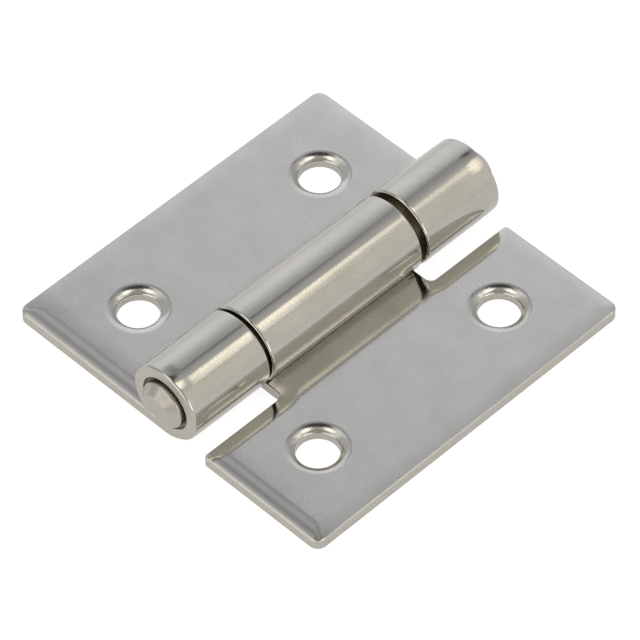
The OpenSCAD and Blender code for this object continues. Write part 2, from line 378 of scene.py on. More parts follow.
def add_band(blank, corners):
    """Adds the drawn upper edge, the wall and the lower edge along one outline of the plate.

    Round a corner the plate's edge form turns into the flatter form of the free edge, by the
    square of the outward direction's share along s. Returns the loops of stations where the band
    meets the upper face and the underside.
    """
    forms = [np.array(edge_rows(top, UNDER_EDGE)).T for top in (PLATE_EDGE, FREE_EDGE)]
    points, normals = [], []
    for rows in zip(*forms):
        sides = []
        for depth, w, n_out, n_up in rows:
            stations, outward, gain = inset_outline(corners, depth)
            level = np.ones((len(stations), 1))
            share_out = n_out*gain[:, None] if abs(n_up) > FACE_SHARE else n_out*level
            sides.append((np.hstack([stations, w*level]), unit(np.hstack([outward*share_out, n_up*level]))))
        free = np.maximum(outward[:, :1], 0)**2
        (plate, plate_normal), (flatter, flatter_normal) = sides
        points.append(plate + free*(flatter - plate))
        normals.append(unit(plate_normal + free*(flatter_normal - plate_normal)))
    points, normals = np.array(points), np.array(normals)
    blank.add_grid(points, normals, wall_slots(len(points)), flip=True)
    return points[0, :, :2], points[-1, :, :2]


def wall_slots(rows):
    """Material slot of each strip across an edge: the cut wall is rough, all else is polished."""
    slots = np.zeros(rows - 1, dtype=int)
    slots[WIDE_ROWS + ROUND_ROWS - 2] = 1
    return slots


def add_hole(blank, centre, radius):
    """Adds one punched hole and returns its loops on the upper face and the underside."""
    inset, height, out, up = (row[:, None, None] for row in edge_rows(HOLE_EDGE, UNDER_EDGE))
    angle = np.linspace(0, 2*np.pi, HOLE_STATIONS, endpoint=False)
    spoke = np.stack([np.cos(angle), np.sin(angle)], axis=1)
    ring = centre + (radius + inset)*spoke
    level = np.ones(ring.shape[:2] + (1,))
    points = np.concatenate([ring, height*level], axis=-1)
    normals = np.concatenate([-out*spoke, up*level], axis=-1)
    blank.add_grid(points, normals, wall_slots(len(inset)), closed=True)
    return points[0, :, :2], points[-1, :, :2]


def add_roll(blank, low, high, ends, turn):
    """Adds one tongue and its knuckle as a closed section carried along the sheet to the seam.

    low and high are the section's ends along the pin, ends gives each end's (mouth, rim) forms, and
    turn is the angle of the roll. The plate's edge forms turn into the knuckle's over the blend
    angle. The seam's corners are rounded by an arc of radius r: the section shrinks by
    r(1 - cos b) while it runs on by r sin b.
    """
    flat_s = np.linspace(HANDOVER, 0, TONGUE_STATIONS)[:-1]
    rolled = np.linspace(0, turn*MEAN_RADIUS - SEAM_RADIUS, ROLL_STATIONS)
    s = np.concatenate([flat_s, -rolled])
    blend = smooth(np.maximum(-s, 0)/MEAN_RADIUS/BLEND_ANGLE)[:, None]
    sides = []
    for mouth, rim in ends:
        top = PLATE_EDGE + blend*(mouth - PLATE_EDGE)
        under = UNDER_EDGE + blend*(rim - UNDER_EDGE)
        sides.append(edge_rows(top, under))
    (inset_a, w_a, out_a, up_a), (inset_b, w_b, out_b, up_b) = sides
    y = np.concatenate([low + inset_a, high - inset_b[:, ::-1]], axis=1)
    w = np.concatenate([w_a, w_b[:, ::-1]], axis=1)
    n_y = np.concatenate([-out_a, out_b[:, ::-1]], axis=1)
    n_w = np.concatenate([up_a, up_b[:, ::-1]], axis=1)
    n_s = np.zeros_like(y)
    s = np.broadcast_to(s[:, None], y.shape)
    b = np.linspace(0, QUARTER, SEAM_STATIONS)[1:, None]
    shrink = SEAM_RADIUS*(1 - np.cos(b))
    y = np.concatenate([y, y[-1] - shrink*n_y[-1]])
    w = np.concatenate([w, w[-1] - shrink*n_w[-1]])
    s = np.concatenate([s, s[-1] - SEAM_RADIUS*np.sin(b)])
    n_y = np.concatenate([n_y, n_y[-1]*np.cos(b)])
    n_w = np.concatenate([n_w, n_w[-1]*np.cos(b)])
    n_s = np.concatenate([n_s, n_s[-1] - np.sin(b)])
    rows, columns = y.shape
    quads = grid_faces(rows, columns, closed=True)[..., TURNED_OVER]
    half = wall_slots(columns//2)
    slots = np.tile(np.concatenate([half, [0], half[::-1], [0]]), rows - 1)
    # The last face is the sheet's end at the seam
    faces = quads.reshape(-1, 4).tolist() + [list(range((rows - 1)*columns, rows*columns))]
    blank.add(np.stack([s, y, w], axis=-1), np.stack([n_s, n_y, n_w], axis=-1), faces, [*slots, 1])


def leaf_piece(name, sizes, side, shift, outlines, knuckles):
    """Builds one leaf from its outlines and its knuckles, each given as (low, high, forms of its ends).

    The roll ends where its outer surface is the seam's gap above the plate: it turns through three
    quarters and the arcsine of that place's depth below the axis over the barrel's radius.
    """
    blank = Blank()
    seam_fall = AXIS_HEIGHT - THICKNESS - sizes.seam_gap
    turn = 3*QUARTER + np.arcsin(seam_fall/BARREL_RADIUS)
    bands = [add_band(blank, corners) for corners in outlines]
    spots = [np.array([sizes.hole_offset, y*sizes.hole_spacing/2]) for y in (-1, 1)]
    holes = [add_hole(blank, spot, sizes.hole_radius) for spot in spots]
    s, y = np.meshgrid(np.arange(GRID_START, LEAF_WIDTH - GRID_MARGIN, GRID_STEP),
                       np.arange(*GRID_SPAN, GRID_STEP))
    grid = np.column_stack([s.ravel(), y.ravel()])
    clear = sizes.hole_radius + HOLE_EDGE[1] + GRID_CLEARANCE
    for spot in spots:
        grid = grid[np.linalg.norm(grid - spot, axis=1) > clear]
    for i, height, up in ((0, THICKNESS, 1), (1, 0, -1)):
        outline = np.concatenate([band[i] for band in bands])
        fill_flat(blank, outline, [hole[i] for hole in holes], grid, height, up)
    for low, high, ends in knuckles:
        add_roll(blank, low, high, ends, turn)
    return blank.mesh(name, side, shift)


def outer_leaf(sizes):
    """The leaf with the two outer knuckles: one cut-back between its two tongues."""
    half, cut, inner = HALF_LENGTH, sizes.cut_back, HALF_LENGTH - sizes.knuckle_length
    corner, root = sizes.corner_radius, sizes.root_radius
    outlines = [
        [(HANDOVER, -half, 0), (LEAF_WIDTH, -half, corner), (LEAF_WIDTH, half, corner), (HANDOVER, half, 0)],
        [(HANDOVER, inner, 0), (cut, inner, root), (cut, -inner, root), (HANDOVER, -inner, 0)],
    ]
    knuckles = [
        (-half, -inner, ((MOUTH, NEAR_RIM), (MOUTH, INNER_RIM))),
        (inner, half, ((MOUTH, INNER_RIM), (MOUTH, FAR_RIM))),
    ]
    return leaf_piece("outer_leaf_sheet", sizes, -1, 0, outlines, knuckles)


def centre_leaf(sizes):
    """The leaf with the centre knuckle: one tongue between two cut-backs."""
    half, cut = HALF_LENGTH, sizes.cut_back
    corner, inner, root = sizes.corner_radius, sizes.plate_corner, sizes.root_radius
    tongue = HALF_LENGTH - sizes.knuckle_length - sizes.joint_gaps/2
    outlines = [
        [(HANDOVER, -tongue, 0), (cut, -tongue, root), (cut, -half, inner), (LEAF_WIDTH, -half, corner),
         (LEAF_WIDTH, half, corner), (cut, half, inner), (cut, tongue, root), (HANDOVER, tongue, 0)],
    ]
    knuckles = [(-tongue, tongue, ((MOUTH, INNER_RIM), (MOUTH, INNER_RIM)))]
    return leaf_piece("centre_leaf_sheet", sizes, 1, CENTRE_SHIFT, outlines, knuckles)


def rounded_outline(corners):
    """Points and normals along an outline of straight lines whose corners are rounded by arcs.

    Each corner is (r, y, fillet). The arc's tangent length is fillet*tan(half the turn). The
    normal lies on the right of the outline's direction.
    """
    corners = np.array(corners, dtype=float)
    run = unit(np.diff(corners[:, :2], axis=0))
    right = np.stack([run[:, 1], -run[:, 0]], axis=1)
    points, normals = [corners[0, :2]], [right[0]]
    for i in range(1, len(corners) - 1):
        before, after = run[i - 1], run[i]
        turn = np.arctan2(before[0]*after[1] - before[1]*after[0], before @ after)
        fillet = corners[i, 2]
        start = corners[i, :2] - before*fillet*np.tan(abs(turn)/2)
        sign = np.sign(turn)
        centre = start - sign*right[i - 1]*fillet
        angle = np.linspace(0, turn, FILLET_STEPS + 1)[:, None]
        normal = right[i - 1]*np.cos(angle) + before*np.sin(angle)
        points += list(centre + sign*fillet*normal)
        normals += list(normal)
    points.append(corners[-1, :2])
    normals.append(right[-1])
    return np.array(points), np.array(normals)


def pin_half(reach):
    """Outline of half of the pin, from its tip at y = reach to its middle, as (radius, y, fillet).

    The tip is a flat with a shallow turned recess. A taper leads to the neck inside the knuckle's
    end, then come the pressed land and the thinner journal.
    """
    tip, neck, journal, land = 2.1*MM, 3.1*MM, 3.5*MM, BORE_RADIUS
    taper_angle, shoulder = np.radians(42), 0.05*MM
    taper_start = reach - (neck - tip)/np.tan(taper_angle)
    neck_start = HALF_LENGTH - 1.2*MM
    land_start = HALF_LENGTH - 11.5*MM
    recess = [(0, reach - 0.10*MM, 0), (0.5*MM, reach - 0.09*MM, 0.3*MM), (1.25*MM, reach - 0.08*MM, 0.05*MM),
              (1.4*MM, reach, 0.05*MM)]
    return recess + [
        (tip, reach, 0.12*MM), (neck, taper_start, 0.2*MM), (neck, neck_start, 0.05*MM),
        (land, neck_start - shoulder, 0.03*MM), (land, land_start, 0.03*MM),
        (journal, land_start - shoulder, 0.03*MM),
    ]


def turned_pin():
    """The pin: its outline, from tip to tip, turned about the axis as (r cos a, y, height + r sin a)."""
    near = [(r, -y, fillet) for r, y, fillet in pin_half(-PIN_LOW[1])]
    outline, normal = rounded_outline(near + pin_half(PIN_HIGH[1])[::-1])
    angle = np.linspace(0, 2*np.pi, PIN_STATIONS, endpoint=False)
    cos, sin, level = np.cos(angle), np.sin(angle), np.ones(PIN_STATIONS)
    (r, y), (n_r, n_y) = outline[1:-1].T[..., None], normal[1:-1].T[..., None]
    points = np.stack([r*cos, y*level, AXIS_HEIGHT + r*sin], axis=-1)
    normals = np.stack([n_r*cos, n_y*level, n_r*sin], axis=-1)
    quads = grid_faces(len(r), PIN_STATIONS, closed=True)[..., TURNED_OVER]
    sectors = [(i, (i + 1) % PIN_STATIONS) for i in range(PIN_STATIONS)]
    last = (len(r) - 1)*PIN_STATIONS
    near_pole = last + PIN_STATIONS
    faces = quads.reshape(-1, 4).tolist() + [(near_pole, a, b) for a, b in sectors]
    faces += [(near_pole + 1, last + b, last + a) for a, b in sectors]
    poles = [[0, outline[0, 1], AXIS_HEIGHT], [0, outline[-1, 1], AXIS_HEIGHT]]
    place = np.concatenate([points.reshape(-1, 3), poles])
    facing = np.concatenate([normals.reshape(-1, 3), [[0, -1, 0], [0, 1, 0]]])
    return make_mesh("turned_pin", place, unit(facing), faces, [0]*len(faces))


class Shader:
    """Small helper that adds nodes to a tree and joins them by name."""

    def __init__(self, tree):
        self.tree = tree
        tree.nodes.clear()

    def add(self, kind, inputs=None, **settings):
        """Adds a node, sets its options, and fills its inputs with values or links."""
        node = self.tree.nodes.new(kind)
        for key, value in settings.items():
            setattr(node, key, value)
        for key, value in (inputs or {}).items():
            socket = node.inputs[key]
            if isinstance(value, bpy.types.NodeSocket):
                self.tree.links.new(value, socket)
            else:
                socket.default_value = value
        return node

    def math(self, operation, *values, clamp=False):
        """A Math node's result."""
        node = self.add("ShaderNodeMath", dict(enumerate(values)), operation=operation, use_clamp=clamp)
        return node.outputs[0]

    def product(self, *values):
        """The values multiplied together."""
        result = values[0]
        for value in values[1:]:
            result = self.math("MULTIPLY", result, value)
        return result

    def vector(self, operation, *values):
        """A Vector Math node's result, which is a number for a length or a dot product."""
        node = self.add("ShaderNodeVectorMath", dict(enumerate(values)), operation=operation)
        return node.outputs["Value" if operation in ("LENGTH", "DOT_PRODUCT") else "Vector"]

    def step(self, value, none, full):
        """Smooth step of a value from 0 at none to 1 at full, which may be the lower of the two."""
        low, high = sorted((none, full))
        node = self.add("ShaderNodeMapRange", {"Value": value, "From Min": low, "From Max": high},
                        interpolation_type="SMOOTHSTEP")
        return node.outputs[0] if none < full else self.math("SUBTRACT", 1.0, node.outputs[0])

    def noise(self, kind, place, dimensions="2D"):
        """The value of one of the noises at a place, which is a number in 1D."""
        scale, detail, roughness = NOISES[kind]
        key = "W" if dimensions == "1D" else "Vector"
        node = self.add("ShaderNodeTexNoise", {key: place, "Scale": scale, "Detail": detail,
                                               "Roughness": roughness}, noise_dimensions=dimensions)
        return node.outputs["Fac"]

    def ramp(self, value, stops):
        """A colour ramp over (position, colour) stops."""
        node = self.add("ShaderNodeValToRGB", {"Fac": value})
        elements = node.color_ramp.elements
        while len(elements) > 1:
            elements.remove(elements[-1])
        for i, (position, tint) in enumerate(stops):
            element = elements[0] if i == 0 else elements.new(position)
            element.position = position
            element.color = (*tint, 1)
        return node.outputs["Color"]

    def shaded(self, kind, value, tint=(1, 1, 1)):
        """A ramp over one of the shades, each of its factors times a tint."""
        return self.ramp(value, [(at, [c*f for c, f in zip(tint, factors)]) for at, factors in SHADES[kind]])

    def mix(self, factor, a, b, blend="MIX"):
        """A colour mix of a and b, which are the node's inputs 6 and 7."""
        a, b = (c if isinstance(c, bpy.types.NodeSocket) else (*c, 1) for c in (a, b))
        node = self.add("ShaderNodeMix", {"Factor": factor, 6: a, 7: b}, data_type="RGBA", blend_type=blend)
        return node.outputs[2]

    def bumps(self, *layers):
        """The normal under bumps laid over each other, each as its height and its depth."""
        normal = None
        for height, depth in layers:
            under = {} if normal is None else {"Normal": normal}
            node = self.add("ShaderNodeBump", {"Height": height, "Distance": depth, "Strength": 1.0, **under})
            normal = node.outputs["Normal"]
        return normal

    def metal(self, tint, roughness, normal):
        """Ends a material as bare metal."""
        surface = self.add("ShaderNodeBsdfPrincipled", {"Base Color": tint, "Metallic": 1.0,
                                                        "Roughness": roughness, "Normal": normal})
        self.add("ShaderNodeOutputMaterial", {"Surface": surface.outputs[0]})


# Painted reflection: the flats are a little paler and cooler than the rolled knuckles, in place of the cooler
# light they mirror
FLAT_REFLECTION_TINT = (1.13, 1.14, 1.18)
# The polishing streaks: their direction on the blank, from across the pin towards along it, and how many
# there are to a unit of the plan along and across them
STREAK_ANGLE = np.radians(64)
STREAK_SCALE = (150, 420, 1)
# How much the polish varies from place to place, and how much smoother the joints' shade-painted ring faces
# are than a cut wall
GLOSS_SPREAD = 0.05
JOINT_SHADE_GLOSS = 0.2
# The flats' faint fall reaches this far in from the plate's end edges
APRON_REACH = 5*MM
# The grain on the holes' drawn rims fades over this width at the rim's outside
RIM_FADE = 0.7*MM
# Depths of the grain on the holes' rims, the tear lines and speckle on a cut wall, and the rings and
# speckle on the pin
RIM_GRAIN, TEAR_DEPTH, CUT_SPECKLE = 0.008*MM, 0.006*MM, 0.004*MM
RING_DEPTH, PIN_SPECKLE = 0.007*MM, 0.0015*MM
# The tear lines on a cut wall, to a metre along each axis
TEAR_SCALE = (5200, 5200, 900)
# The rings on the pin go by its radius plus this share of the place along it
RING_LEAN = 0.7
# The noises, each as its scale, detail and roughness. The sheet's are to a unit of the plan, the streaks'
# and tears' are to one streak and one tear, and the others are to a metre.
NOISES = {
    "waves": (14, 2, 0.5),
    "peel": (400, 2, 0.55),
    "streaks": (1, 3, 0.6),
    "gloss": (1.7, 2, 0.5),
    "rims": (700, 2, 0.6),
    "clouds": (22, 4, 0.6),
    "grain": (520, 2, 0.6),
    "tears": (1, 3, 0.6),
    "cut": (4500, 2, 0.6),
    "rings": (3000, 2, 0.6),
    "pin": (2500, 2, 0.6),
}
# Shades by a noise's value: where it is darkest and where lightest, each with its factors of the colour
SHADES = {
    "clouds": [(0.35, (0.965, 0.975, 0.965)), (0.65, (1.04, 1.03, 1.04))],
    "grain": [(0.3, (0.93, 0.93, 0.93)), (0.7, (1.07, 1.07, 1.07))],
    "cut": [(0.3, (0.88, 0.87, 0.86)), (0.7, (1.06, 1.06, 1.06))],
    "pin": [(0.3, (0.94, 0.93, 0.92)), (0.7, (1.04, 1.04, 1.04))],
}
# Where looks begin and where they are full, as millimetres on the plan: the flat's painted paler tint and its
# streaks, its fall, and the roll, all across the pin, and the inside of the joints, where shade is painted,
# along it
FLAT, FALL, ROLL, INSIDE = PLAN*MM*np.array([(-2, 2), (0, 8), (0, -2), (20, 19)])


def new_material(name):
    """A material with an empty node tree, and the helper that fills it."""
    material = bpy.data.materials.new(name)
    material.use_nodes = True
    return material, Shader(material.node_tree)


def plan_of(shader):
    """The plan, the place across the pin on it, and the distance from the leaf's middle along the pin."""
    plan = shader.add("ShaderNodeTexCoord").outputs["UV"]
    across, along, _ = shader.add("ShaderNodeSeparateXYZ", {0: plan}).outputs
    return plan, across, shader.math("ABSOLUTE", along)


def apron(shader, across, off_middle):
    """Height of the flats beside the plate's two end edges: -(1 - d/reach)^2 at the distance d."""
    distance = shader.math("SUBTRACT", PLAN*HALF_LENGTH, off_middle)
    near = shader.math("SUBTRACT", 1.0, shader.math("DIVIDE", distance, PLAN*APRON_REACH), clamp=True)
    return shader.product(near, near, shader.step(across, *FALL), -1.0)


def satin_sheet(scene):
    """Satin stainless sheet, with leaning polishing streaks, orange peel, slow waves, grained rims, and a
    painted reflection on the flats.
    """
    finish, sizes = scene.hinge_finish, scene.hinge_sheet
    material, shader = new_material("satin_sheet")
    plan, across, off_middle = plan_of(shader)
    on_flat = shader.step(across, *FLAT)
    leaning = shader.add("ShaderNodeVectorRotate", {"Vector": plan, "Angle": -STREAK_ANGLE},
                         rotation_type="Z_AXIS").outputs[0]
    streaks = shader.add("ShaderNodeMapping", {"Vector": leaning, "Scale": STREAK_SCALE}).outputs[0]
    kept = shader.math("MULTIPLY_ADD", on_flat, finish.flat_streaks - 1.0, 1.0)
    offset = shader.add("ShaderNodeCombineXYZ", {
        0: shader.math("SUBTRACT", across, PLAN*sizes.hole_offset),
        1: shader.math("SUBTRACT", off_middle, PLAN*sizes.hole_spacing/2)})
    rim = sizes.hole_radius + HOLE_EDGE[1]
    on_rim = shader.step(shader.vector("LENGTH", offset.outputs[0]), PLAN*rim, PLAN*(rim - RIM_FADE))
    normal = shader.bumps(
        (apron(shader, across, off_middle), finish.apron_depth),
        (shader.noise("waves", plan), finish.wave_depth),
        (shader.noise("peel", plan), finish.peel_depth),
        (shader.product(shader.noise("streaks", streaks), kept), finish.streak_depth),
        (shader.product(shader.noise("rims", plan), on_rim), RIM_GRAIN))
    tint = shader.shaded("clouds", shader.noise("clouds", plan), finish.sheet)
    speckle = shader.shaded("grain", shader.noise("grain", plan))
    tint = shader.mix(1.0, tint, speckle, "MULTIPLY")
    # Painted reflection: the flats get a paler, cooler tint in place of the cooler light that they mirror
    tint = shader.mix(on_flat, tint, shader.mix(1.0, tint, FLAT_REFLECTION_TINT, "MULTIPLY"))
    gloss = shader.math("MULTIPLY_ADD", shader.noise("gloss", streaks), GLOSS_SPREAD,
                        finish.sheet_roughness - GLOSS_SPREAD/2)
    shader.metal(tint, gloss, normal)
    return material


def blanked_edge(scene):
    """Dull blanked edge, with fine upright tear lines and speckle, and painted shade on the ring faces inside
    the joints.
    """
    finish = scene.hinge_finish
    material, shader = new_material("blanked_edge")
    place = shader.add("ShaderNodeTexCoord").outputs["Object"]
    tears = shader.add("ShaderNodeMapping", {"Vector": place, "Scale": TEAR_SCALE}).outputs[0]
    speckle = shader.noise("cut", place, "3D")
    normal = shader.bumps((shader.noise("tears", tears, "3D"), TEAR_DEPTH), (speckle, CUT_SPECKLE))
    tint = shader.shaded("cut", speckle, finish.cut)
    # The ring faces inside the joints are the roll's cut walls that lie well inside the barrel's ends
    _, across, off_middle = plan_of(shader)
    # Painted shade: these ring faces take a dark colour and less roughness in place of the shade in the
    # joints' gaps
    shade_painted = shader.product(shader.step(across, *ROLL), shader.step(off_middle, *INSIDE))
    tint = shader.mix(shade_painted, tint, tuple(finish.grease))
    shader.metal(tint, shader.math("MULTIPLY_ADD", shade_painted, -JOINT_SHADE_GLOSS, finish.cut_roughness), normal)
    return material


def turned_steel(scene):
    """Turned steel, with fine rings about the pin's axis."""
    finish = scene.hinge_finish
    material, shader = new_material("turned_steel")
    place = shader.add("ShaderNodeTexCoord").outputs["Object"]
    centred = shader.vector("ADD", place, (0, 0, -AXIS_HEIGHT))
    radius = shader.vector("LENGTH", shader.vector("MULTIPLY", centred, (1, 0, 1)))
    along = shader.add("ShaderNodeSeparateXYZ", {0: place}).outputs["Y"]
    leaning = shader.math("ADD", radius, shader.math("MULTIPLY", along, RING_LEAN))
    speckle = shader.noise("pin", place, "3D")
    normal = shader.bumps((shader.noise("rings", leaning, "1D"), RING_DEPTH), (speckle, PIN_SPECKLE))
    tint = shader.shaded("pin", speckle, finish.pin)
    shader.metal(tint, finish.pin_roughness, normal)
    return material


def shared_material(maker, scene):
    """The material that has its maker's name, made the first time that it is asked for."""
    return bpy.data.materials.get(maker.__name__) or maker(scene)


# The light of the studio's panels by the direction across the pin, in degrees from +X over the top
STUDIO = [
    (0, (0.86, 0.86, 0.81)), (22, (0.91, 0.91, 0.85)), (42, (0.93, 0.91, 0.84)), (50, (0.86, 0.87, 0.81)),
    (56, (0.80, 0.79, 0.74)), (80, (0.65, 0.65, 0.65)), (86, (0.61, 0.615, 0.625)), (94, (0.51, 0.51, 0.53)),
    (106, (0.54, 0.55, 0.57)), (114, (0.59, 0.60, 0.63)), (122, (0.735, 0.745, 0.78)),
    (130, (0.835, 0.845, 0.895)), (138, (0.98, 1.00, 1.05)), (150, (1.09, 1.10, 1.17)),
    (162, (1.05, 1.06, 1.13)), (178, (0.90, 0.92, 0.97)),
]
# Their brighter and darker bands along the pin: the direction's share along it, and the factor
BANDS = [
    (0.19, 1.29), (0.21, 0.78), (0.23, 0.72), (0.25, 0.58), (0.268, 0.45), (0.293, 0.70), (0.315, 0.82),
    (0.345, 0.84), (0.37, 0.66), (0.39, 0.56), (0.41, 0.57), (0.418, 0.78), (0.424, 0.95), (0.431, 1.08),
    (0.438, 1.04), (0.449, 1.02), (0.465, 1.06), (0.482, 1.11), (0.50, 1.14), (0.60, 1.11), (0.64, 1.17),
]
# The long lamp, by the share along the pin: its two limits across the pin in degrees, and its strength
LAMP = [
    (0.30, (60, 82, 0)), (0.315, (60, 82, 0.46)), (0.36, (60, 80, 0.4)), (0.375, (62, 78, 0)),
    (0.435, (66, 70, 0)), (0.437, (63, 72, 0.9)), (0.440, (54, 77, 1)), (0.4435, (49.5, 77.3, 1)),
    (0.451, (52.5, 76.5, 0.95)), (0.458, (62, 75, 0.57)), (0.467, (66, 75.5, 0.54)),
    (0.474, (67.5, 75, 0.38)), (0.480, (64, 76, 0.37)), (0.4835, (63, 76, 0.3)),
    (0.485, (62, 67.5, 0.03)), (0.49, (62, 67.5, 0.06)), (0.495, (62, 69, 0.1)),
    (0.503, (62, 74, 0.25)), (0.51, (60, 79, 0.65)), (0.525, (47, 83, 0.75)), (0.54, (50, 84, 0.7)),
    (0.55, (60, 80, 0.55)), (0.556, (66, 76, 0)),
]
# The dark seam between two panels, by the same share: its place across the pin in degrees, its depth, and
# its width as a factor of the distances in degrees between which it fades
SEAM = [
    (0.40, (100, 0.1, 0.5)), (0.4375, (100, 0.35, 0.5)), (0.440, (100, 0.75, 0.5)),
    (0.446, (100, 0.65, 0.5)), (0.458, (98.5, 0.5, 0.5)), (0.467, (99.5, 0.4, 0.5)),
    (0.476, (101.5, 0.34, 0.5)), (0.49, (107, 0.3, 0.5)), (0.50, (109, 0.2, 0.5)),
    (0.512, (107, 0.2, 0.6)), (0.518, (106, 1, 1)), (0.543, (106, 1, 1)), (0.553, (106, 0, 0.6)),
]
SEAM_FADE = (10.0, 2.0)
SEAM_LIGHT = (0.02, 0.02, 0.02)
LAMP_LIGHT = (2.7, 2.54, 2.19)
# The lamp's limits fade over this many degrees to either side
LAMP_FADE = 1.0
# Axes that a direction is measured along: towards the camera and square to that, both along the floor,
# and up to the middles of the dim part and of the hood
AXES = {
    "ahead": (0.715, -0.699, 0),
    "aside": (0.699, 0.715, 0),
    "dim": (0.47, -0.46, 0.75),
    "hood": (-0.136, 0.133, 0.982),
}
# The two bright panels beside the hood, as shares ahead, to either side and upwards
PANELS = (0.05, 0.34, 0.94)
# Windows bound the room's parts and are multiplied. Each is a measure of the direction, its value where the
# part begins, and its value where the part is full. The bands have one, and the dim part has two.
OVERHEAD = [("angle", 96.0, 110.0), ("angle", 145.0, 128.0)]
DIM_STRIP = [("off", 0.32, 0.22), ("ahead", 0.1, 0.25)]
DIM_PATCH = [("dim", 0.80, 0.88)]
DIM_LIGHT = (0.46, 0.44, 0.41)
# Other parts are a light and its windows: the front low on the near side, and the lights low on both sides
FRONT = ((1.07, 1.05, 0.99), [("v", 0.205, 0.18), ("x", -0.32, -0.42)])
LOW_SIDES = ((2.3, 2.2, 2.0), [("off", 0.3, 0.38), ("ahead", 0.15, 0.3), ("off", 0.94, 0.86),
                               ("z", 0.55, 0.4), ("v", 0.35, 0.2)])
# The last ones, each over the one before: the room behind, low on the left, the bright panels, and the hood
LAST_PARTS = [
    ((0.5, 0.5, 0.49), [("v", 0.76, 0.88)]),
    ((0.6, 0.6, 0.59), [("x", -0.5, -0.65), ("v", 0.32, 0.22)]),
    ((2.1, 2.03, 1.83), [("panels", 0.980, 0.990)]),
    ((0.085, 0.082, 0.078), [("hood", 0.963, 0.977)]),
]


def by_share(shader, share, stops, angles):
    """Looks three values up by the share along the pin. As many of them as angles says are degrees."""
    scales = [180 if i < angles else 1 for i in range(3)]
    rows = [(place, [value/scale for value, scale in zip(values, scales)]) for place, values in stops]
    outputs = shader.add("ShaderNodeSeparateColor", {0: shader.ramp(share, rows)}).outputs
    return [shader.math("MULTIPLY", outputs[i], 180.0) if i < angles else outputs[i] for i in range(3)]


def measures(shader):
    """What the windows measure: x, v and z, the angle across the pin from +X in degrees, and the axes.

    v is the direction's share along the pin, off is its share to either side of the camera, and
    panels is the cosine of its angle from the nearer of the two bright panels.
    """
    place = shader.add("ShaderNodeTexCoord").outputs["Generated"]
    x, v, z = shader.add("ShaderNodeSeparateXYZ", {0: place}).outputs
    found = {name: shader.vector("DOT_PRODUCT", place, axis) for name, axis in AXES.items()}
    found.update(x=x, v=v, z=z, off=shader.math("ABSOLUTE", found["aside"]),
                 angle=shader.math("MULTIPLY", shader.math("ARCTAN2", z, x), 180/np.pi))
    folded = shader.add("ShaderNodeCombineXYZ", {0: found["ahead"], 1: found["off"], 2: z}).outputs[0]
    found["panels"] = shader.vector("DOT_PRODUCT", folded, PANELS)
    return found


def studio_light(shader):
    """The colour of the studio in each direction.

    It is panels(angle), times bands(v) overhead. Over it come, one after the other, the dark seam,
    a bright front, the long lamp between its two limits, the lights low on both sides, the dim
    part towards the camera, the dim room behind, the dim low left, the two bright panels beside
    the hood, and the hood overhead.
    """
    found = measures(shader)
    angle, v = found["angle"], found["v"]

    def part(windows):
        return shader.product(*(shader.step(found[name], none, full) for name, none, full in windows))

    def over(under, tint, windows):
        return shader.mix(part(windows), under, tint)

    panels = shader.ramp(shader.math("DIVIDE", angle, 180.0, clamp=True),
                         [(degrees/180, tint) for degrees, tint in STUDIO])
    bands = shader.ramp(v, [(at, (factor, factor, factor)) for at, factor in BANDS])
    light = shader.mix(part(OVERHEAD), panels, bands, "MULTIPLY")
    middle, depth, width = by_share(shader, v, SEAM, 1)
    off = shader.math("DIVIDE", shader.math("ABSOLUTE", shader.math("SUBTRACT", angle, middle)), width)
    light = shader.mix(shader.product(shader.step(off, *SEAM_FADE), depth), light, SEAM_LIGHT)
    light = over(light, *FRONT)
    low, high, strength = by_share(shader, v, LAMP, 2)
    above = shader.step(shader.math("SUBTRACT", angle, low), -LAMP_FADE, LAMP_FADE)
    below = shader.step(shader.math("SUBTRACT", high, angle), -LAMP_FADE, LAMP_FADE)
    light = shader.mix(shader.product(above, below, strength), light, LAMP_LIGHT)
    light = over(light, *LOW_SIDES)
    light = shader.mix(shader.math("MAXIMUM", part(DIM_STRIP), part(DIM_PATCH)), light, DIM_LIGHT)
    for last_part in LAST_PARTS:
        light = over(light, *last_part)
    return light


def seen_ray(shader):
    """The light path's outputs, and 1 for what the camera sees, also through clear things."""
    path = shader.add("ShaderNodeLightPath").outputs
    return path, shader.math("MAXIMUM", path["Is Camera Ray"], path["Is Transmission Ray"])


def make_world():
    """White to the camera and through clear things, the studio to everything else."""
    world = bpy.data.worlds.new("studio")
    bpy.context.scene.world = world
    world.use_nodes = True
    shader = Shader(world.node_tree)
    light = shader.add("ShaderNodeBackground", {"Color": studio_light(shader), "Strength": 1.0})
    white = shader.add("ShaderNodeBackground", {"Color": (1, 1, 1, 1), "Strength": 1.0})
    _, seen = seen_ray(shader)
    mixed = shader.add("ShaderNodeMixShader", {0: seen, 1: light.outputs[0], 2: white.outputs[0]})
    shader.add("ShaderNodeOutputWorld", {"Surface": mixed.outputs[0]})


# The floor's own colour under the light that falls on it, and its place below the leaves
FLOOR_GREY = (0.35, 0.35, 0.35, 1)
FLOOR_HEIGHT = -0.02*MM


def floor_material(glow, mirrored):
    """White floor: it glows a little short of white, and the light that falls on it fills up the rest."""
    material, shader = new_material("white_floor")
    path, seen = seen_ray(shader)
    strength = shader.math("MULTIPLY_ADD", path["Is Glossy Ray"], mirrored, shader.product(seen, glow))
    glowing = shader.add("ShaderNodeEmission", {"Color": (1, 1, 1, 1), "Strength": strength})
    matte = shader.add("ShaderNodeBsdfDiffuse", {"Color": FLOOR_GREY})
    both = shader.add("ShaderNodeAddShader", {0: glowing.outputs[0], 1: matte.outputs[0]})
    shader.add("ShaderNodeOutputMaterial", {"Surface": both.outputs[0]})
    return material


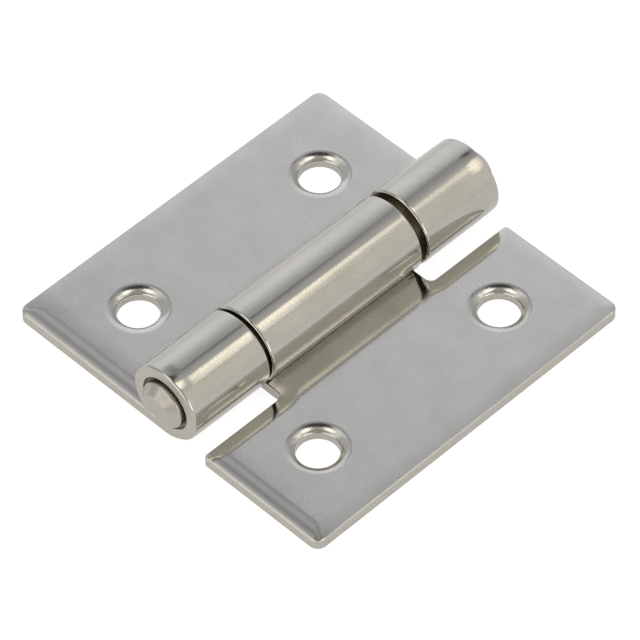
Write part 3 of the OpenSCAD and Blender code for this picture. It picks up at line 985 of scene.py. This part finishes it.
def make_floor(stage):
    """The floor, a hair below the leaves' undersides."""
    half, drop = stage.floor_size/2, FLOOR_HEIGHT
    corners = [(-half, -half, drop), (half, -half, drop), (half, half, drop), (-half, half, drop)]
    mesh = bpy.data.meshes.new("floor")
    mesh.from_pydata(corners, [], [(0, 1, 2, 3)])
    mesh.materials.append(floor_material(stage.floor_glow, stage.mirrored_glow))
    floor = bpy.data.objects.new("floor", mesh)
    bpy.context.scene.collection.objects.link(floor)


# Width of the camera's sensor in millimetres, and the nearest and farthest distances that it sees
SENSOR_WIDTH = 36
CLIP_START, CLIP_END = 0.01, 20


def make_camera(stage):
    """The camera at the photograph's angle: back = (sin az cos el, -cos az cos el, sin el)."""
    az, el, roll = stage.azimuth, stage.elevation, stage.roll
    back = np.array([np.sin(az)*np.cos(el), -np.cos(az)*np.cos(el), np.sin(el)])
    right = np.array([np.cos(az), np.sin(az), 0])
    up = np.cross(back, right)
    turned_right = right*np.cos(roll) + up*np.sin(roll)
    turned_up = up*np.cos(roll) - right*np.sin(roll)
    data = bpy.data.cameras.new("camera")
    data.lens = stage.lens
    data.sensor_width = SENSOR_WIDTH
    data.clip_start, data.clip_end = CLIP_START, CLIP_END
    camera = bpy.data.objects.new("camera", data)
    place = np.array(stage.target) + back*stage.distance
    frame_axes = np.column_stack([turned_right, turned_up, back, place])
    camera.matrix_world = Matrix([*frame_axes.tolist(), [0, 0, 0, 1]])
    bpy.context.scene.collection.objects.link(camera)
    bpy.context.scene.camera = camera


class HINGE_OT_leaves(bpy.types.Operator):
    """Build both leaves as rolled sheets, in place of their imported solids"""
    bl_idname = "hinge.leaves"
    bl_label = "Build leaves"
    bl_options = {"REGISTER", "UNDO"}

    def execute(self, context):
        for build, node, body in ((outer_leaf, "outer_knuckle_leaf", "fixed_leaf"),
                                  (centre_leaf, "centre_knuckle_leaf", "swing_leaf")):
            piece = build(context.scene.hinge_sheet)
            piece.data.materials.append(shared_material(satin_sheet, context.scene))
            piece.data.materials.append(shared_material(blanked_edge, context.scene))
            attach(piece, body)
            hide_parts(node)
        return {"FINISHED"}


class HINGE_OT_pin(bpy.types.Operator):
    """Build the turned pin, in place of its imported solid"""
    bl_idname = "hinge.pin"
    bl_label = "Build pin"
    bl_options = {"REGISTER", "UNDO"}

    def execute(self, context):
        piece = turned_pin()
        piece.data.materials.append(shared_material(turned_steel, context.scene))
        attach(piece, "fixed_leaf")
        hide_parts("hinge_pin")
        return {"FINISHED"}


class HINGE_OT_stage(bpy.types.Operator):
    """Set up the white floor, the studio's light and the camera"""
    bl_idname = "hinge.stage"
    bl_label = "Set up stage"
    bl_options = {"REGISTER", "UNDO"}

    def execute(self, context):
        stage = context.scene.hinge_stage
        make_world()
        make_floor(stage)
        make_camera(stage)
        context.scene.view_settings.view_transform = "Standard"
        return {"FINISHED"}


class HINGE_PT_panel(bpy.types.Panel):
    """Buttons and settings for the hinge"""
    bl_idname = "HINGE_PT_panel"
    bl_label = "Butt hinge"
    bl_space_type = "VIEW_3D"
    bl_region_type = "UI"
    bl_category = "Hinge"

    def draw(self, context):
        layout = self.layout
        for operator in (HINGE_OT_leaves, HINGE_OT_pin, HINGE_OT_stage):
            layout.operator(operator.bl_idname)
        for group in (context.scene.hinge_sheet, context.scene.hinge_finish, context.scene.hinge_stage):
            box = layout.box()
            for key in group.__annotations__:
                box.prop(group, key)


CLASSES = (HINGE_PG_sheet, HINGE_PG_finish, HINGE_PG_stage, HINGE_OT_leaves, HINGE_OT_pin, HINGE_OT_stage,
           HINGE_PT_panel)


def register():
    """Registers the classes and hangs the settings on the scene."""
    for item in CLASSES:
        bpy.utils.register_class(item)
    bpy.types.Scene.hinge_sheet = PointerProperty(type=HINGE_PG_sheet)
    bpy.types.Scene.hinge_finish = PointerProperty(type=HINGE_PG_finish)
    bpy.types.Scene.hinge_stage = PointerProperty(type=HINGE_PG_stage)


def unregister():
    """Takes the settings and the classes away again."""
    for name in ("hinge_sheet", "hinge_finish", "hinge_stage"):
        delattr(bpy.types.Scene, name)
    for item in reversed(CLASSES):
        bpy.utils.unregister_class(item)


def main():
    """Builds the pieces and the stage."""
    register()
    bpy.ops.hinge.leaves()
    bpy.ops.hinge.pin()
    bpy.ops.hinge.stage()


if __name__ == "__main__":
    main()
